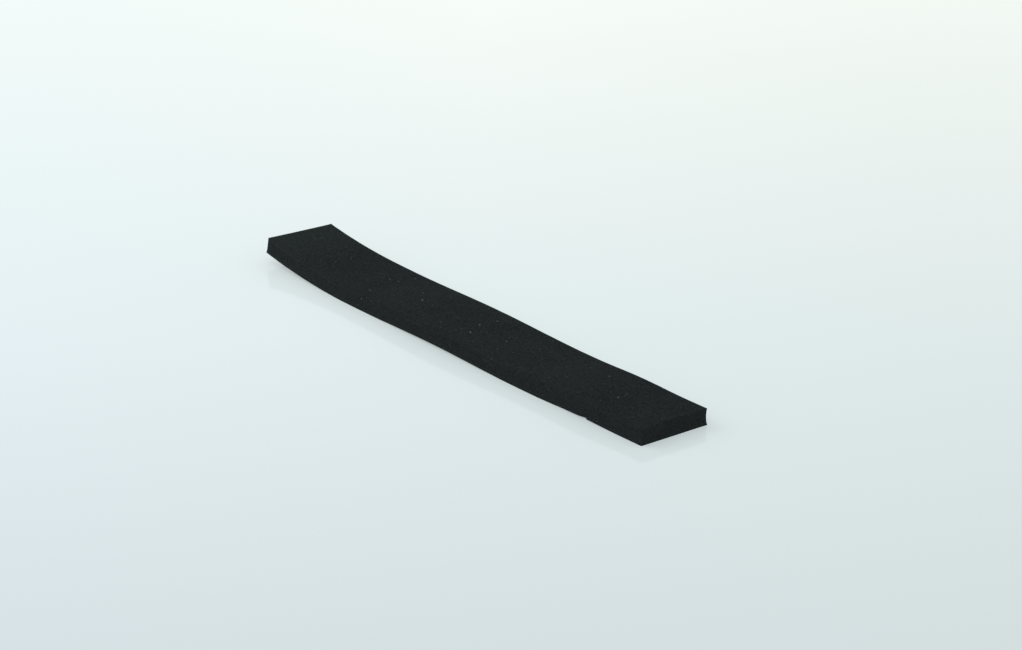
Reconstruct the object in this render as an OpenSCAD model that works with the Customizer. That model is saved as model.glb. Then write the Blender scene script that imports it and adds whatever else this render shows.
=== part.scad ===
// Vibration dampener for a racket: a plain flat strip of black sponge rubber, cut square from sheet.
// A dense skin covers each face and the cellular core shows along the cut sides and ends.
// X runs along the strip, Y across it and Z up. The origin is on the surface that the strip
// lies on, under the middle of its outline. One end curls up, and the rest lies in a low wave.

/* [Strip] */
// Length of the strip
strip_l = 112.2; // [80:0.2:160]
// Width of the strip
strip_w = 15; // [10:0.5:25]
// Thickness of the strip over both skins
strip_t = 3.2; // [2.4:0.1:5]
// Thickness of each skin
skin_t = 0.4; // [0.2:0.05:0.6]

/* [Cut ends] */
// Depth of the hollow that the knife left in the flat end; the curled end is cut straight
flat_end_dish = 0.2; // [0.05:0.05:0.4]

/* [Lie] */
// Sideways bow of the strip, from its ends to its middle
bow = 0.9; // [0.3:0.1:3]
// Share of the length that curls up off the surface
curl_share = 0.22; // [0.1:0.01:0.25]
// Radius of the curl, at the underside
curl_r = 170; // [120:1:400]
// Angle in plan between the curl's axis and a line square across the strip
curl_skew = 17; // [0:1:20]
// Height of the long arch, near the middle of the strip
long_arch_h = 0.45; // [0.1:0.05:0.8]
// Height of the short arch, near the flat end
short_arch_h = 0.25; // [0.1:0.05:0.8]

/* [Hidden] */

core_colour = [0.12, 0.14, 0.14];
skin_colour = [0.14, 0.16, 0.16];

left_x = -strip_l / 2;
right_x = strip_l / 2;
curl_x = left_x + curl_share * strip_l;
// How far the slanted start of the curl reaches along the strip, past its middle
skew_reach = tan(curl_skew) * (strip_w + bow) / 2;

// Where the arches stand, as shares of the length from the curled end: [start, end]
long_arch = [curl_share + skew_reach / strip_l, 0.715];
short_arch = [0.735, 0.955];
arch_steps = 16;

// The underside rises along a circle on the curled stretch: its slope and height at the end
end_slope = asin(curl_share * strip_l * cos(curl_skew) / curl_r);
end_rise = curl_r * (1 - cos(end_slope));

bow_r = (strip_l * strip_l / 4 + bow * bow) / (2 * bow);
dish_r = (strip_t * strip_t / 4 + flat_end_dish * flat_end_dish) / (2 * flat_end_dish);

// Overshoot: what the cutters take away beyond each end, and how far they run past what they cut
spare = 1;
// Height of the blocks that divide the strip: half of it is more than the curled end ever reaches
tall = 40;
bow_fn = 1440;
curl_fn = 720;
dish_fn = 180;

function arch_x(a, i) = left_x + strip_l * (a[0] + (a[1] - a[0]) * i / arch_steps);

// Height and slope of the underside at step i of an arch of height h
function arch_z(h, i) = h * (1 - cos(360 * i / arch_steps)) / 2;
function arch_slope(a, h, i) =
  atan(h * PI * sin(360 * i / arch_steps) / (strip_l * (a[1] - a[0])));

// Points along one arch, lifted square to the underside by d
function arch_line(a, h, d) = [
  for (i = [0 : arch_steps])
    let (slope = arch_slope(a, h, i))
    [arch_x(a, i) - d * sin(slope), arch_z(h, i) + d * cos(slope)]
];

// Points of a line at distance d above the underside, from past the curl to past the flat end
function wave_line(d) = concat(
  [[curl_x - strip_w, d]],
  arch_line(long_arch, long_arch_h, d),
  arch_line(short_arch, short_arch_h, d),
  [[right_x + spare, d]]
);

function backwards(points) = [for (i = [len(points) - 1 : -1 : 0]) points[i]];

// The waved stretch of one ply, between two distances above the underside
module wave_bar(low, high) {
  rotate([90, 0, 0])
    linear_extrude(height = 2 * strip_w, center = true)
      polygon(concat(wave_line(low), backwards(wave_line(high))));
}

// Everything on the curled side of the line where the curl starts
module curl_side() {
  reach = strip_l / 2;
  translate([curl_x, 0, 0])
    rotate([0, 0, curl_skew])
      translate([-reach, -reach, -tall / 2])
        cube([reach, 2 * reach, tall]);
}

// The curled stretch of one ply: part of a wide tube that is tangent to the flat stretch
module curl_shell(low, high) {
  translate([curl_x, 0, curl_r])
    rotate([0, 0, curl_skew])
      rotate([90, 0, 0])
        difference() {
          cylinder(h = strip_l, r = curl_r - low, center = true, $fn = curl_fn);
          cylinder(h = 2 * strip_l, r = curl_r - high, center = true, $fn = curl_fn);
        }
}

// The strip's outline in plan, with its two bowed sides, as a tall block
module bowed_outline() {
  intersection() {
    translate([0, bow_r - bow / 2, -tall / 2])
      difference() {
        cylinder(h = tall, r = bow_r + strip_w / 2, $fn = bow_fn);
        translate([0, 0, -spare])
          cylinder(h = tall + 2 * spare, r = bow_r - strip_w / 2, $fn = bow_fn);
      }
    translate([left_x - spare, -strip_w, -tall])
      cube([strip_l + 2 * spare, 2 * strip_w, 2 * tall]);
  }
}

// A roller that hollows the flat end: its skin passes through the end's two edges
module flat_end_cutter() {
  translate([right_x + dish_r - flat_end_dish, 0, strip_t / 2])
    rotate([90, 0, 0])
      cylinder(h = 4 * strip_w, r = dish_r, center = true, $fn = dish_fn);
}

// A block that cuts the curled end straight, square to the underside
module curled_end_cutter() {
  translate([left_x, 0, end_rise])
    rotate([0, end_slope, 0])
      translate([-tall, -2 * strip_w, -tall / 2])
        cube([tall, 4 * strip_w, tall]);
}

// One ply of the strip, between two distances above the underside
module ply(low, high) {
  difference() {
    intersection() {
      union() {
        difference() {
          wave_bar(low, high);
          curl_side();
        }
        intersection() {
          curl_shell(low, high);
          curl_side();
        }
      }
      bowed_outline();
    }
    flat_end_cutter();
    curled_end_cutter();
  }
}

module bottom_skin() {
  color(skin_colour) ply(0, skin_t);
}

module foam_core() {
  color(core_colour) ply(skin_t, strip_t - skin_t);
}

module top_skin() {
  color(skin_colour) ply(strip_t - skin_t, strip_t);
}

bottom_skin();
foam_core();
top_skin();
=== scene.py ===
"""The looks of a sponge-rubber vibration dampener strip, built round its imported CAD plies.

The strip is modelled flat, in strip coordinates, and then laid down: x runs along the strip from its
curled end, v runs across it and w up through its thickness. All three are in metres, like the frame.
"""
import math

import bpy
import numpy as np
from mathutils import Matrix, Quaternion, Vector


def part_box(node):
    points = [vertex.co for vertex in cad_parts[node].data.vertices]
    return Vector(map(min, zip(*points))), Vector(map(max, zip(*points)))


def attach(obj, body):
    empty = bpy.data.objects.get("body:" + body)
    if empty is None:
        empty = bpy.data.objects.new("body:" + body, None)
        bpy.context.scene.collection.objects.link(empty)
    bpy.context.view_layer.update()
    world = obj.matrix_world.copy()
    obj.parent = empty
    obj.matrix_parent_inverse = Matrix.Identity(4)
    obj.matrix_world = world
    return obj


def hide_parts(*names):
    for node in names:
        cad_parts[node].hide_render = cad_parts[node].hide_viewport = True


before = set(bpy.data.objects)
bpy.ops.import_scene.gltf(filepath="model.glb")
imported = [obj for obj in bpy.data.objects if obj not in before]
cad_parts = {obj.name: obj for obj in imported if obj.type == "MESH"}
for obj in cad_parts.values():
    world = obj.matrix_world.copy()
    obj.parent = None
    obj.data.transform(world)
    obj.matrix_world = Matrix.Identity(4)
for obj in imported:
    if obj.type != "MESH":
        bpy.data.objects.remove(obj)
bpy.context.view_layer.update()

MM = 0.001

# ---- Size of the strip, from the frame ----
BOW = 0.9 * MM
STRIP_L = 2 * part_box("bottom_skin")[1].x
STRIP_W = -2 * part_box("bottom_skin")[0].y - BOW
SKIN_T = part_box("foam_core")[0].z
STRIP_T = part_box("top_skin")[0].z + SKIN_T

# ---- How the strip lies: a curled end and two low arches, as in the CAD ----
CURL_SHARE = 0.22
CURL_R = 170 * MM
CURL_SKEW = math.radians(17)
CURL_X = (CURL_SHARE - 0.5) * STRIP_L
CURL_REACH = math.tan(CURL_SKEW) * (STRIP_W + BOW) / 2
ARCHES = [
    (CURL_SHARE + CURL_REACH / STRIP_L, 0.715, 0.45 * MM),
    (0.735, 0.955, 0.25 * MM),
]

# ---- The cut: both sides and the curled end are nearly flat, and the flat end is hollowed ----
SIDE_DISH = 0.03 * MM
FLAT_END_DISH = 0.2 * MM
# The lowest part of the cut flares out: how far, and up to what share of the thickness
FOOT_FLARE = 0.06 * MM
FOOT_SHARE = 0.25
# The rounding where a skin's face turns into its cut wall
EDGE_R = 0.06 * MM
# The knife's wander along the outline: how far, the places that it is drawn at, its slow and quick
# turns, and the quick ones' share
KNIFE_WANDER = 0.02 * MM
KNIFE_PLACES = 4000
KNIFE_TURNS = (22, 120)
KNIFE_QUICK = 0.35
# The wander and the core's pits fade out over this distance from a corner
CORNER_CALM = 0.8 * MM
# A small nick in the near side's lower edge: the knife drifted in slowly and came back at once
NICK_X = 41.2 * MM
NICK_DRIFT = 1.4 * MM
NICK_RETURN = 0.12 * MM
NICK_H = 0.6 * MM
NICK_DEPTH = 0.35 * MM
# How far from the near side the points of a face follow the nick
NICK_REACH = 2 * MM

# ---- Relief of the skins and the core ----
# Waves in a skin's face: height, and how many along and across, coarse to fine
SKIN_WAVES = [
    (0.012 * MM, 26, 5),
    (0.006 * MM, 150, 22),
    (0.004 * MM, 360, 50),
]
PINHOLES_ABOVE = 240
PINHOLES_BELOW = 160
PINHOLE_R = (0.1 * MM, 0.24 * MM)
PINHOLE_DEPTH = (0.03 * MM, 0.09 * MM)
# The part of a face's length that pinholes keep to
PINHOLE_ZONE = (0.01, 0.99)
# Steps from a face's edge over which its relief starts
FACE_FADE = 6
# Cells that the knife opened in the core, small and large: how many, their radius and their depth
OPEN_CELLS = [
    (5200, (0.09 * MM, 0.2 * MM), (0.03 * MM, 0.1 * MM)),
    (320, (0.2 * MM, 0.36 * MM), (0.06 * MM, 0.15 * MM)),
]
# Tearing between the cells: its height, and how many waves of it down the cut and round the outline
TEAR_H = 0.006 * MM
TEAR_WAVES = (12, 1500)
# Rows from the core's edges over which its relief starts
CORE_FADE = 3
# Power of a pit's profile: the lower it is, the steeper the pit's rim
PIT_SHAPE = 0.8
SEEDS = {"knife": 11, "top skin": 3, "bottom skin": 4, "core": 5}

# ---- Meshes: steps along and across each ply, and rows down its cut wall ----
TOP_STEPS = (800, 106)
BOTTOM_STEPS = (560, 75)
CORE_STEPS = (1400, 188)
CORE_ROWS = 30
SKIN_ROWS = 3
# Turns of a skin's rounded edge, in degrees, from its face to its cut wall
EDGE_TURNS = [90, 60, 30, 0]
# Length of the fans of faces that close each end of a ply where it meets the next one
FAN_L = 6 * MM
# Faces that meet at more than this angle keep a sharp edge in the shading
SHARP_ANGLE = math.radians(65)

# ---- Rubber ----
# The darkest and the palest tone of each surface
MOULDED_TONES = ((0.0024, 0.0041, 0.0045), (0.0154, 0.0191, 0.0197))
# Painted light, in part: the cut and sponge tones are paler than the moulded ones, partly for the look
# of cut rubber and partly to make up for the less light that upright cut faces get
CUT_TONES_PAINTED_PALER = ((0.0080, 0.0102, 0.0105), (0.0200, 0.0236, 0.0243))
SPONGE_TONES_PAINTED_PALER = ((0.0090, 0.0114, 0.0118), (0.0222, 0.0262, 0.0270))
# Walls between the sponge's cells: their colour, its share, and how they fade with distance from a
# wall.
# The walls are painted paler than the cell hollows, as painted shade in the hollows.
CELL_WALL_PAINTED_LIGHT = (0.030, 0.035, 0.036)
CELL_WALL_PAINTED_LIGHT_SHARE = 0.5
CELL_WALL_SPAN = (0.02, 0.16)
# Features in a millimetre
MOTTLE = 2.4
CLOUDS = 0.12
CELLS = 5.0
SPONGE_GRAIN = 7.0
# How much of a skin's tone comes from its clouds, and of the sponge's relief from its grain
CLOUD_SHARE = 0.12
GRAIN_RELIEF = 0.6
# The stretch of a noise's values that a tone or a roughness goes through its range over
TONE_SPAN = (0.4, 0.6)
ROUGH_SPAN = (0.3, 0.7)
# Squared upward part of the normal, from a skin's cut wall to its moulded face
FLAT_SPAN = (0.1, 0.6)
SKIN_ROUGHNESS = (0.72, 0.9)
SPONGE_ROUGHNESS = (0.82, 0.97)
RUBBER_SPECULAR = 0.07
BUMP_DEPTH = 0.04 * MM
# Marks on the rubber: how far apart in mm, their radius in mm, how much longer they are than they are
# wide, the share that shows, and their colour. Near-black dots of painted shade in open pores come
# first, then lint: fibres and specks.
PORE_SHADE_AND_LINT = [
    # Painted shade: near-black dots for the shade inside open pores
    (0.9, 0.20, 1.0, 0.8, (0.0005, 0.0008, 0.0008)),
    (3.0, 0.18, 2.6, 0.35, (0.15, 0.16, 0.16)),
    (2.4, 0.24, 1.0, 0.25, (0.21, 0.22, 0.22)),
    (1.3, 0.20, 1.0, 0.22, (0.17, 0.18, 0.18)),
    (0.75, 0.14, 1.0, 0.35, (0.10, 0.105, 0.105)),
]
# The fibres' direction, and the share of a mark's radius that has its full colour
LINT_TURN = math.radians(35)
MARK_HEART = 0.4
# Patches where marks are thick: how many in a millimetre, the span of their noise, and the least share
PATCHES = 0.2
PATCH_SPAN = (0.44, 0.56)
PATCH_LEAST = 0.25
# Painted light: the rubber is painted slightly paler towards its curled end, which tilts up and catches
# more light.
# The painted light's colour, and then for each surface where it starts and ends in mm, and how much of
# it there is
CURL_PAINTED_LIGHT = (0.050, 0.060, 0.061)
SKIN_CURL_PAINTED_LIGHT = (-40, -57, 0.16)
SPONGE_CURL_PAINTED_LIGHT = (0, -40, 0.045)

# ---- Camera and studio ----
CAMERA_AZIMUTH = math.radians(51.64)
CAMERA_ELEVATION = math.radians(22.03)
CAMERA_DISTANCE = 0.810
CAMERA_ROLL = math.radians(0.1)
CAMERA_TARGET = Vector((-0.00186, 0.00992, 0.0))
CAMERA_LENS = 153.8
CAMERA_SENSOR = 36
CAMERA_CLIP = (0.01, 20)
SOFT_BOX_PLACE = (-1.1, -0.55, 0.75)
SOFT_BOX_SIZE = 1.0
SOFT_BOX_POWER = 6.0
SOFT_BOX_COLOUR = (0.98, 1.0, 1.0)
SURROUND = (0.74, 0.80, 0.81)
# Painted light: the board is given a glow round the strip, though it is no lamp, so that its own
# shadows are faint
BOARD_GLOW = 0.48
BOARD_GLOW_REACH = (0.25, 0.7)
BOARD_SHADE = 0.55
BOARD_ROUGHNESS = 0.1
BOARD_SPECULAR = 0.1
BOARD_HALF = 3.0
# Painted light across the board: its colours are brighter far off, darker near, and differ from side to
# side.
# Where the board's colours stand, seen from the camera: how far near, far and to each side
BOARD_NEAR = -0.14
BOARD_FAR = 0.2
BOARD_SIDE = 0.09
BOARD_PAINTED_LIGHT = {
    "far left": (0.88, 0.92, 0.90),
    "far middle": (0.93, 0.945, 0.90),
    "far right": (0.90, 0.92, 0.865),
    "left": (0.78, 0.85, 0.87),
    "right": (0.745, 0.80, 0.795),
    "near left": (0.675, 0.74, 0.76),
    "near right": (0.67, 0.72, 0.725),
}


# ---------------------------------------------------------------- laying the strip down
def underside(x, y):
    """Height of the underside above the surface, and its slopes along X and Y."""
    past = np.maximum(math.cos(CURL_SKEW) * (CURL_X - x) - math.sin(CURL_SKEW) * y, 0)
    level = np.sqrt(CURL_R**2 - past**2)
    height = CURL_R - level
    slope_x = -math.cos(CURL_SKEW) * past / level
    slope_y = -math.sin(CURL_SKEW) * past / level
    for start, end, rise in ARCHES:
        share = x / STRIP_L + 0.5
        turn = 2 * np.pi * np.clip((share - start) / (end - start), 0, 1)
        height = height + rise * (1 - np.cos(turn)) / 2
        slope_x = slope_x + rise * np.pi * np.sin(turn) / ((end - start) * STRIP_L)
    return height, slope_x, slope_y


def lay_down(flat):
    """Strip coordinates (x, v, w) turned into places in the frame."""
    x, v, w = flat.T
    y = v + BOW * (2 * x / STRIP_L) ** 2 - BOW / 2
    height, slope_x, slope_y = underside(x, y)
    normal = np.stack([-slope_x, -slope_y, np.ones_like(x)], axis=1)
    normal /= np.linalg.norm(normal, axis=1)[:, None]
    return np.stack([x, y, height], axis=1) + w[:, None] * normal


# ---------------------------------------------------------------- relief fields
def waves(rows, columns, knots_down, knots_along, rng):
    """A smooth random field of about unit height, with that many knots each way."""
    knots = rng.standard_normal((knots_down + 2, knots_along + 2))

    def spread(count, steps):
        place = np.linspace(0, steps, count)
        low = np.minimum(place.astype(int), steps)
        part = place - low
        return low, part * part * (3 - 2 * part)

    down, share_down = spread(rows, knots_down)
    along, share_along = spread(columns, knots_along)
    share_down = share_down[:, None]

    def row_of(knot_row):
        return knot_row[:, along] * (1 - share_along) + knot_row[:, along + 1] * share_along

    return row_of(knots[down]) * (1 - share_down) + row_of(knots[down + 1]) * share_down


def dent(field, step, count, radius, depth, rng, inside=(0.0, 1.0)):
    """Presses count round pits into field, which has step between its points.

    radius and depth are (least, most), and inside is the part of the rows that pits keep to.
    """
    rows, columns = field.shape
    low, high = (share * (rows - 1) for share in inside)
    for _ in range(count):
        r = rng.uniform(*radius)
        deep = rng.uniform(*depth)
        row = rng.uniform(low, high)
        column = rng.uniform(0, columns - 1)
        reach_down = r / step[0]
        reach_along = r / step[1]
        top = max(int(row - reach_down), 0)
        left = max(int(column - reach_along), 0)
        a = np.arange(top, min(int(row + reach_down) + 2, rows))[:, None]
        b = np.arange(left, min(int(column + reach_along) + 2, columns))[None, :]
        away = ((a - row) / reach_down) ** 2 + ((b - column) / reach_along) ** 2
        pit = -deep * np.clip(1 - away, 0, 1) ** PIT_SHAPE
        window = (slice(top, top + len(a)), slice(left, left + b.shape[1]))
        field[window] = np.minimum(field[window], pit)


# ---------------------------------------------------------------- ply meshes
def nick(x, height):
    """How far the nick bites into the near side at that place and height."""
    past = x - NICK_X
    along = past / np.where(past < 0, NICK_DRIFT, NICK_RETURN)
    return NICK_DEPTH * np.exp(-(along**2) - (height / NICK_H) ** 2)


class Ring:
    """The strip's outline in plan: nu steps along each side and nv steps along each end."""

    def __init__(self, nu, nv):
        self.nu, self.nv = nu, nv
        along = np.linspace(-1, 1, nu + 1)
        across = np.linspace(-1, 1, nv + 1)
        one_u, one_v = np.ones(nu), np.ones(nv)
        self.a = np.concatenate([along[:-1], one_v, along[:0:-1], -one_v])
        self.b = np.concatenate([-one_u, across[:-1], one_u, across[:0:-1]])
        self.size = len(self.a)
        self.out_x = np.where(np.abs(self.a) > 1 - 1e-9, np.sign(self.a), 0)
        self.out_v = np.where(np.abs(self.b) > 1 - 1e-9, np.sign(self.b), 0)
        from_corner_x = (1 - np.abs(self.a)) * STRIP_L / 2
        from_corner_v = (1 - np.abs(self.b)) * STRIP_W / 2
        self.corner_fade = np.clip(np.maximum(from_corner_x, from_corner_v) / CORNER_CALM, 0, 1)

    def at(self, height, inset, outward):
        """One row of the cut wall: dished, with a slight foot, and then drawn in and pushed out."""
        share = height / STRIP_T
        hollow = 4 * share * (1 - share)
        foot = FOOT_FLARE * max(0.0, 1 - share / FOOT_SHARE) ** 2
        end_inset = inset - foot + hollow * FLAT_END_DISH * (self.a > 0)
        side_inset = inset - foot + hollow * SIDE_DISH
        x = self.a * (STRIP_L / 2 - end_inset) + self.out_x * outward
        v = self.b * (STRIP_W / 2 - side_inset) + self.out_v * outward
        v += nick(self.a * STRIP_L / 2, height) * (self.out_v < 0) * (self.out_x == 0)
        return np.stack([x, v, np.full(self.size, height)], axis=1)

    def grid(self, ring_ids, first):
        """Vertex numbers of the face inside the ring, whose inner points are numbered from first."""
        nu, nv = self.nu, self.nv
        ids = np.empty((nu + 1, nv + 1), int)
        ids[1:-1, 1:-1] = first + np.arange((nu - 1) * (nv - 1)).reshape(nu - 1, nv - 1)
        ids[:, 0] = ring_ids[: nu + 1]
        ids[-1, :] = ring_ids[nu : nu + nv + 1]
        ids[::-1, -1] = ring_ids[nu + nv : 2 * nu + nv + 1]
        ids[0, ::-1] = np.append(ring_ids[2 * nu + nv :], ring_ids[0])
        return ids

    def bridge(self, ids, hub):
        """Faces that close the ring where nothing shows: strips across it, and a fan at each end.

        hub is the number of the left fan's middle point, and the right fan's comes next.
        """
        nu, nv = self.nu, self.nv
        fan = round(nu * FAN_L / STRIP_L)
        near = ids[: nu + 1]
        far = ids[nu + nv : 2 * nu + nv + 1][::-1]
        strips = [near[fan : -fan - 1], near[fan + 1 : -fan], far[fan + 1 : -fan], far[fan : -fan - 1]]
        faces = np.stack(strips, axis=1).tolist()
        left_rim = [*near[: fan + 1], *far[fan::-1], *ids[2 * nu + nv + 1 :]]
        right_rim = [*near[-fan - 1 :], *ids[nu + 1 : nu + nv], *far[: -fan - 2 : -1]]
        for rim, middle in ((left_rim, hub), (right_rim, hub + 1)):
            faces += [[a, b, middle] for a, b in zip(rim, rim[1:] + rim[:1])]
        return faces


def quads(ids):
    """Faces of a grid of vertex numbers, wound so that they face up when x and v grow."""
    corners = [ids[:-1, :-1], ids[1:, :-1], ids[1:, 1:], ids[:-1, 1:]]
    return np.stack(corners, axis=-1).reshape(-1, 4).tolist()


def ply_mesh(name, ring, wall, top_face=None, bottom_face=None):
    """A closed ply from the rows of points of its wall, from the top down.

    A face that shows is given as an array of points.
    """
    rows = len(wall)
    ids = np.arange(rows * ring.size).reshape(rows, ring.size)
    points = [np.concatenate(wall)]
    looped = np.concatenate([ids, ids[:, :1]], axis=1)
    faces = quads(looped[::-1].T)
    count = rows * ring.size
    for face, edge, turned in ((top_face, ids[0], False), (bottom_face, ids[-1], True)):
        if face is None:
            made = ring.bridge(edge, count)
            height = wall[-1 if turned else 0][0, 2]
            hub_x = STRIP_L / 2 - FAN_L / 2
            points.append(np.array([[-hub_x, 0, height], [hub_x, 0, height]]))
            count += 2
        else:
            made = quads(ring.grid(edge, count))
            inner = face[1:-1, 1:-1].reshape(-1, 3)
            points.append(inner)
            count += len(inner)
        faces += [f[::-1] for f in made] if turned else made
    mesh = bpy.data.meshes.new(name)
    mesh.from_pydata(lay_down(np.concatenate(points)), [], faces)
    mesh.shade_smooth()
    mesh.set_sharp_from_angle(angle=SHARP_ANGLE)
    ply = bpy.data.objects.new(name, mesh)
    bpy.context.collection.objects.link(ply)
    return ply


def knife_line(ring):
    """The knife's slight wander along the outline, the same through all the plies."""
    rng = np.random.default_rng(SEEDS["knife"])
    slow, quick = (waves(1, KNIFE_PLACES, 1, turns, rng)[0] for turns in KNIFE_TURNS)
    step_x = np.diff(ring.a, append=ring.a[0]) * STRIP_L / 2
    step_v = np.diff(ring.b, append=ring.b[0]) * STRIP_W / 2
    place = np.cumsum(np.hypot(step_x, step_v))
    place = place / place[-1]
    drawn_at = np.linspace(0, 1, KNIFE_PLACES)
    wander = np.interp(place, drawn_at, slow + KNIFE_QUICK * quick)
    return KNIFE_WANDER * wander * ring.corner_fade


def face_points(ring, height, inset, relief):
    """Points of a skin's face: a grid over the outline, drawn in by inset, with its relief."""
    x = np.linspace(-1, 1, ring.nu + 1) * (STRIP_L / 2 - inset)
    v = np.linspace(-1, 1, ring.nv + 1) * (STRIP_W / 2 - inset)
    grid_x, grid_v = np.meshgrid(x, v, indexing="ij")
    near_edge = np.clip(1 - (grid_v + STRIP_W / 2) / NICK_REACH, 0, 1)
    grid_v = grid_v + nick(grid_x, height) * near_edge
    return np.stack([grid_x, grid_v, height + relief], axis=-1)


def face_relief(ring, seed, pinholes):
    """Relief of a moulded skin: waves from slow unevenness to fine grain, and scattered pinholes."""
    rng = np.random.default_rng(seed)
    shape = (ring.nu + 1, ring.nv + 1)
    step = (STRIP_L / ring.nu, STRIP_W / ring.nv)
    holes = np.zeros(shape)
    dent(holes, step, pinholes, PINHOLE_R, PINHOLE_DEPTH, rng, PINHOLE_ZONE)
    uneven = sum(height * waves(*shape, along, across, rng) for height, along, across in SKIN_WAVES)
    edge = np.minimum.outer(np.arange(shape[0]), np.arange(shape[1]))
    edge = np.minimum(edge, edge[::-1, ::-1])
    return (uneven + holes) * np.clip(edge / FACE_FADE, 0, 1)


def skin(name, seed, facing_up, ring, pinholes):
    """One skin: a face with relief, a knife-turned edge and a narrow band of cut wall."""
    line = knife_line(ring)
    turns = np.radians(EDGE_TURNS)
    edge_rows = [(EDGE_R * (1 - math.sin(t)), EDGE_R * (1 - math.cos(t))) for t in turns]
    cut_depths = np.linspace(EDGE_R, SKIN_T, SKIN_ROWS + 1)[1:]
    surface = STRIP_T if facing_up else 0.0
    inward = -1 if facing_up else 1
    wall = []
    for down, drawn_in in edge_rows:
        height = surface + inward * down
        wall.append(ring.at(height, drawn_in, line))
    for down in cut_depths:
        height = surface + inward * down
        wall.append(ring.at(height, 0.0, line))
    relief = face_relief(ring, seed, pinholes)
    # The underside's high spots are pressed flat by what it lies on
    relief = relief if facing_up else -np.minimum(relief, 0)
    face = face_points(ring, surface, EDGE_R, relief)
    if facing_up:
        return ply_mesh(name, ring, wall, top_face=face)
    return ply_mesh(name, ring, wall[::-1], bottom_face=face)


def core(name, ring, rows):
    """The core: a band of cut sponge all round, pitted by the cells that the knife opened."""
    rng = np.random.default_rng(SEEDS["core"])
    line = knife_line(ring)
    heights = np.linspace(STRIP_T - SKIN_T, SKIN_T, rows)
    pits = np.zeros((rows, ring.size))
    step = (abs(heights[1] - heights[0]), 2 * (STRIP_L + STRIP_W) / ring.size)
    for count, radius, depth in OPEN_CELLS:
        dent(pits, step, count, radius, depth, rng)
    tear = TEAR_H * waves(rows, ring.size, *TEAR_WAVES, rng)
    from_edge = np.minimum(np.arange(rows), np.arange(rows)[::-1])
    fade = np.clip(from_edge / CORE_FADE, 0, 1)[:, None]
    away = (pits + tear) * fade * ring.corner_fade
    wall = [ring.at(height, 0.0, line + row) for height, row in zip(heights, away)]
    return ply_mesh(name, ring, wall)


# ---------------------------------------------------------------- materials
def new_material(name):
    """A material with an emptied node tree, and its Principled shader."""
    material = bpy.data.materials.new(name)
    material.use_nodes = True
    tree = material.node_tree
    tree.nodes.clear()
    shader = tree.nodes.new("ShaderNodeBsdfPrincipled")
    out = tree.nodes.new("ShaderNodeOutputMaterial")
    tree.links.new(shader.outputs["BSDF"], out.inputs["Surface"])
    return material, tree, shader


def in_millimetres(tree):
    """Object coordinates counted in millimetres."""
    where = tree.nodes.new("ShaderNodeTexCoord")
    scale = tree.nodes.new("ShaderNodeMapping")
    scale.inputs["Scale"].default_value = (1 / MM,) * 3
    tree.links.new(where.outputs["Object"], scale.inputs["Vector"])
    return scale.outputs["Vector"]


def noise(tree, place, per_mm, detail=3.0, rough=0.55):
    """Noise with about per_mm features in a millimetre."""
    node = tree.nodes.new("ShaderNodeTexNoise")
    node.inputs["Scale"].default_value = per_mm
    node.inputs["Detail"].default_value = detail
    node.inputs["Roughness"].default_value = rough
    tree.links.new(place, node.inputs["Vector"])
    return node.outputs["Fac"]


def ranged(tree, value, low, high, to_low, to_high):
    """value from low to high, mapped to a new range and held there."""
    node = tree.nodes.new("ShaderNodeMapRange")
    tree.links.new(value, node.inputs["Value"])
    settings = {"From Min": low, "From Max": high, "To Min": to_low, "To Max": to_high}
    for key, setting in settings.items():
        node.inputs[key].default_value = setting
    return node.outputs["Result"]


def mixed(tree, share, first, second):
    """A colour between first and second, each a colour or a socket."""
    node = tree.nodes.new("ShaderNodeMix")
    node.data_type = "RGBA"
    tree.links.new(share, node.inputs["Factor"])
    for socket, colour in ((node.inputs[6], first), (node.inputs[7], second)):
        if isinstance(colour, tuple):
            socket.default_value = (*colour, 1)
        else:
            tree.links.new(colour, socket)
    return node.outputs[2]


def math_node(tree, operation, first, second):
    """A sum or product of two sockets or numbers."""
    node = tree.nodes.new("ShaderNodeMath")
    node.operation = operation
    for socket, value in zip(node.inputs, (first, second)):
        if isinstance(value, (int, float)):
            socket.default_value = value
        else:
            tree.links.new(value, socket)
    return node.outputs[0]


def bumped(tree, shader, height, depth):
    """Relief of that depth in metres, on the shader."""
    node = tree.nodes.new("ShaderNodeBump")
    node.inputs["Strength"].default_value = 1.0
    node.inputs["Distance"].default_value = depth
    tree.links.new(height, node.inputs["Height"])
    tree.links.new(node.outputs["Normal"], shader.inputs["Normal"])


def specks(tree, place, apart, radius, stretch, share):
    """1 on small marks: balls or fibres about apart millimetres from each other, cut by the surface."""
    drawn_out = tree.nodes.new("ShaderNodeMapping")
    drawn_out.inputs["Rotation"].default_value = (0, 0, LINT_TURN)
    drawn_out.inputs["Scale"].default_value = (1 / stretch, 1, 1)
    tree.links.new(place, drawn_out.inputs["Vector"])
    cells = tree.nodes.new("ShaderNodeTexVoronoi")
    cells.inputs["Scale"].default_value = 1 / apart
    tree.links.new(drawn_out.outputs["Vector"], cells.inputs["Vector"])
    split = tree.nodes.new("ShaderNodeSeparateColor")
    tree.links.new(cells.outputs["Color"], split.inputs["Color"])
    near = ranged(tree, cells.outputs["Distance"], MARK_HEART * radius / apart, radius / apart, 1, 0)
    chosen = ranged(tree, split.outputs[0], 1 - share, 1, 0, 1)
    return math_node(tree, "MULTIPLY", near, chosen)


def with_curl_painted_light(tree, place, tone, curl_light):
    """tone with faint pale painted light, for the light that the curled end catches, growing between
    two places along the strip.
    """
    start, end, most = curl_light
    split = tree.nodes.new("ShaderNodeSeparateXYZ")
    tree.links.new(place, split.inputs["Vector"])
    return mixed(tree, ranged(tree, split.outputs["X"], start, end, 0, most), tone, CURL_PAINTED_LIGHT)


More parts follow.
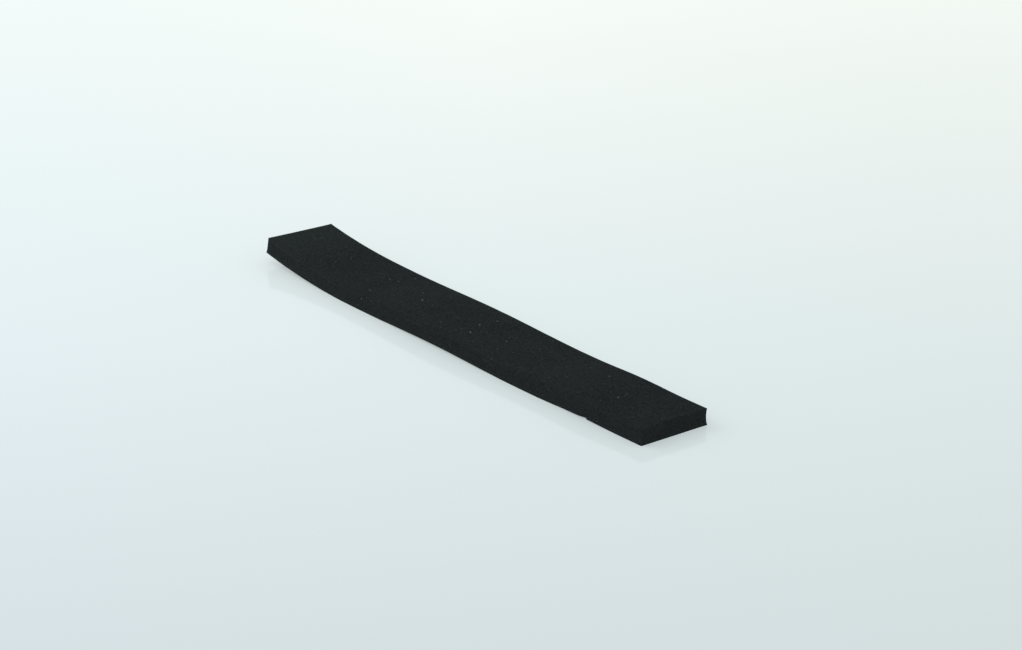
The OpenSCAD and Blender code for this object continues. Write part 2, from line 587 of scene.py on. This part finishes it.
def with_pore_shade_and_lint(tree, place, tone):
    """tone with painted shade in pores, and lint and dust on it, thicker in some patches than in
    others.
    """
    patches = noise(tree, place, PATCHES, detail=2)
    thickness = ranged(tree, patches, *PATCH_SPAN, PATCH_LEAST, 1)
    for apart, radius, stretch, share, colour in PORE_SHADE_AND_LINT:
        shape = specks(tree, place, apart, radius, stretch, share)
        amount = math_node(tree, "MULTIPLY", shape, thickness)
        tone = mixed(tree, amount, tone, colour)
    return tone


def cut_share(tree):
    """1 on the cut edges of a skin, which stand upright and are painted paler, partly as painted light,
    and 0 on its moulded face.
    """
    where = tree.nodes.new("ShaderNodeTexCoord")
    split = tree.nodes.new("ShaderNodeSeparateXYZ")
    tree.links.new(where.outputs["Normal"], split.inputs["Vector"])
    flatness = math_node(tree, "POWER", split.outputs["Z"], 2)
    return ranged(tree, flatness, *FLAT_SPAN, 1, 0)


def skin_material():
    """Moulded rubber skin: matte black with a mottled grain, faint clouds and lint, with painted shade
    in pores, cut edges painted paler partly as painted light, and painted light towards the curled end.
    """
    material, tree, shader = new_material("rubber_skin")
    place = in_millimetres(tree)
    clouds = noise(tree, place, CLOUDS, detail=4)
    mottle = noise(tree, place, MOTTLE, detail=4, rough=0.65)
    fine_part = math_node(tree, "MULTIPLY", mottle, 1 - CLOUD_SHARE)
    broad_part = math_node(tree, "MULTIPLY", clouds, CLOUD_SHARE)
    share = ranged(tree, math_node(tree, "ADD", fine_part, broad_part), *TONE_SPAN, 0, 1)
    moulded = mixed(tree, share, *MOULDED_TONES)
    # Painted light, in part: upright cut edges take paler tones
    cut = mixed(tree, share, *CUT_TONES_PAINTED_PALER)
    # Painted light: the skin is painted paler towards the curled end
    tone = with_curl_painted_light(tree, place, mixed(tree, cut_share(tree), moulded, cut), SKIN_CURL_PAINTED_LIGHT)
    tree.links.new(with_pore_shade_and_lint(tree, place, tone), shader.inputs["Base Color"])
    roughness = ranged(tree, mottle, *ROUGH_SPAN, *SKIN_ROUGHNESS)
    tree.links.new(roughness, shader.inputs["Roughness"])
    shader.inputs["Specular IOR Level"].default_value = RUBBER_SPECULAR
    bumped(tree, shader, mottle, BUMP_DEPTH)
    return material


def sponge_material():
    """Cut sponge rubber: black cells with thin, slightly greyer walls between them; the darker cells
    are painted shade in the cell hollows.
    """
    material, tree, shader = new_material("sponge_rubber")
    place = in_millimetres(tree)
    cells = tree.nodes.new("ShaderNodeTexVoronoi")
    cells.feature = "DISTANCE_TO_EDGE"
    cells.inputs["Scale"].default_value = CELLS
    tree.links.new(place, cells.inputs["Vector"])
    walls = ranged(tree, cells.outputs["Distance"], *CELL_WALL_SPAN, 1, 0)
    grain = noise(tree, place, SPONGE_GRAIN, detail=3, rough=0.6)
    # Painted light, in part: the sponge's tones are set paler for its upright cut face
    tone = mixed(tree, ranged(tree, grain, *TONE_SPAN, 0, 1), *SPONGE_TONES_PAINTED_PALER)
    # Painted shade: the cell hollows stay darker than the paler walls
    tone = mixed(tree, math_node(tree, "MULTIPLY", walls, CELL_WALL_PAINTED_LIGHT_SHARE), tone, CELL_WALL_PAINTED_LIGHT)
    # Painted light: the sponge is painted paler towards the curled end
    tone = with_curl_painted_light(tree, place, tone, SPONGE_CURL_PAINTED_LIGHT)
    tree.links.new(with_pore_shade_and_lint(tree, place, tone), shader.inputs["Base Color"])
    roughness = ranged(tree, grain, *ROUGH_SPAN, *SPONGE_ROUGHNESS)
    tree.links.new(roughness, shader.inputs["Roughness"])
    shader.inputs["Specular IOR Level"].default_value = RUBBER_SPECULAR
    relief = math_node(tree, "ADD", walls, math_node(tree, "MULTIPLY", grain, GRAIN_RELIEF))
    bumped(tree, shader, relief, BUMP_DEPTH)
    return material


def floor_material():
    """Pale glossy board with painted light: a little brighter at its far side in the main view, and a
    painted glow round the strip.
    """
    material, tree, shader = new_material("pale_board")
    where = tree.nodes.new("ShaderNodeTexCoord")
    turn = tree.nodes.new("ShaderNodeMapping")
    turn.inputs["Rotation"].default_value = (0, 0, -CAMERA_AZIMUTH)
    tree.links.new(where.outputs["Object"], turn.inputs["Vector"])
    split = tree.nodes.new("ShaderNodeSeparateXYZ")
    tree.links.new(turn.outputs["Vector"], split.inputs["Vector"])
    near_half = ranged(tree, split.outputs["Y"], BOARD_NEAR, 0.0, 0, 1)
    far_half = ranged(tree, split.outputs["Y"], 0.0, BOARD_FAR, 0, 1)
    rightward = ranged(tree, split.outputs["X"], -BOARD_SIDE, BOARD_SIDE, 0, 1)
    left_half = ranged(tree, split.outputs["X"], -BOARD_SIDE, 0.0, 0, 1)
    right_half = ranged(tree, split.outputs["X"], 0.0, BOARD_SIDE, 0, 1)
    # Painted light: the board's tone is brighter far off and darker near
    near = mixed(tree, rightward, BOARD_PAINTED_LIGHT["near left"], BOARD_PAINTED_LIGHT["near right"])
    middle = mixed(tree, rightward, BOARD_PAINTED_LIGHT["left"], BOARD_PAINTED_LIGHT["right"])
    far = mixed(tree, left_half, BOARD_PAINTED_LIGHT["far left"], BOARD_PAINTED_LIGHT["far middle"])
    far = mixed(tree, right_half, far, BOARD_PAINTED_LIGHT["far right"])
    tone = mixed(tree, far_half, mixed(tree, near_half, near, middle), far)
    shade = tree.nodes.new("ShaderNodeMix")
    shade.data_type = "RGBA"
    shade.inputs["Factor"].default_value = BOARD_SHADE
    shade.inputs[6].default_value = (0, 0, 0, 1)
    tree.links.new(tone, shade.inputs[7])
    tree.links.new(shade.outputs[2], shader.inputs["Base Color"])
    tree.links.new(tone, shader.inputs["Emission Color"])
    away = tree.nodes.new("ShaderNodeVectorMath")
    away.operation = "LENGTH"
    tree.links.new(where.outputs["Object"], away.inputs[0])
    # Painted light: the board glows round the strip, fading with distance
    glow = ranged(tree, away.outputs["Value"], *BOARD_GLOW_REACH, BOARD_GLOW, 0)
    tree.links.new(glow, shader.inputs["Emission Strength"])
    shader.inputs["Roughness"].default_value = BOARD_ROUGHNESS
    shader.inputs["Specular IOR Level"].default_value = BOARD_SPECULAR
    return material


# ---------------------------------------------------------------- scene
def make_strip():
    """The three plies, each in place of its CAD node."""
    skin_look = skin_material()
    top_ring = Ring(*TOP_STEPS)
    bottom_ring = Ring(*BOTTOM_STEPS)
    core_ring = Ring(*CORE_STEPS)
    top = skin("top_skin_moulded", SEEDS["top skin"], True, top_ring, PINHOLES_ABOVE)
    bottom = skin("bottom_skin_moulded", SEEDS["bottom skin"], False, bottom_ring, PINHOLES_BELOW)
    middle = core("foam_core_cut", core_ring, CORE_ROWS)
    plies = (
        (top, "top_skin", "rubber_skin", skin_look),
        (bottom, "bottom_skin", "rubber_skin", skin_look),
        (middle, "foam_core", "sponge_rubber", sponge_material()),
    )
    for ply, node, slot, look in plies:
        ply.data.materials.append(look)
        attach(ply, "root")
        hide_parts(node)
    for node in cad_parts.values():
        node.data.materials.clear()
        node.data.materials.append(skin_look)


def make_floor():
    """A wide board under the strip."""
    half = BOARD_HALF
    mesh = bpy.data.meshes.new("floor")
    corners = [(-half, -half, 0), (half, -half, 0), (half, half, 0), (-half, half, 0)]
    mesh.from_pydata(corners, [], [(0, 1, 2, 3)])
    floor = bpy.data.objects.new("floor", mesh)
    bpy.context.collection.objects.link(floor)
    floor.data.materials.append(floor_material())


def make_light(name, place, size, power, colour):
    """A square soft box that looks at the strip."""
    data = bpy.data.lights.new(name, "AREA")
    data.size = size
    data.energy = power
    data.color = colour
    light = bpy.data.objects.new(name, data)
    light.location = place
    light.rotation_euler = (-Vector(place)).to_track_quat("-Z", "Y").to_euler()
    bpy.context.collection.objects.link(light)


def make_studio():
    """An even pale surround and one large soft box, above and beyond the curled end."""
    world = bpy.data.worlds.new("surround")
    world.use_nodes = True
    sky = world.node_tree.nodes["Background"]
    sky.inputs["Color"].default_value = (*SURROUND, 1)
    bpy.context.scene.world = world
    make_light("soft_box", SOFT_BOX_PLACE, SOFT_BOX_SIZE, SOFT_BOX_POWER, SOFT_BOX_COLOUR)
    bpy.context.scene.view_settings.view_transform = "Standard"


def make_camera():
    """The camera, placed by its angles round a point on the board."""
    back = Vector((
        math.sin(CAMERA_AZIMUTH) * math.cos(CAMERA_ELEVATION),
        -math.cos(CAMERA_AZIMUTH) * math.cos(CAMERA_ELEVATION),
        math.sin(CAMERA_ELEVATION),
    ))
    data = bpy.data.cameras.new("camera")
    data.sensor_width = CAMERA_SENSOR
    data.lens = CAMERA_LENS
    data.clip_start, data.clip_end = CAMERA_CLIP
    camera = bpy.data.objects.new("camera", data)
    camera.location = CAMERA_TARGET + CAMERA_DISTANCE * back
    level = (-back).to_track_quat("-Z", "Y")
    camera.rotation_euler = (level @ Quaternion((0, 0, 1), CAMERA_ROLL)).to_euler()
    bpy.context.collection.objects.link(camera)
    bpy.context.scene.camera = camera


make_camera()
make_studio()
make_floor()
make_strip()

bpy.context.view_layer.update()
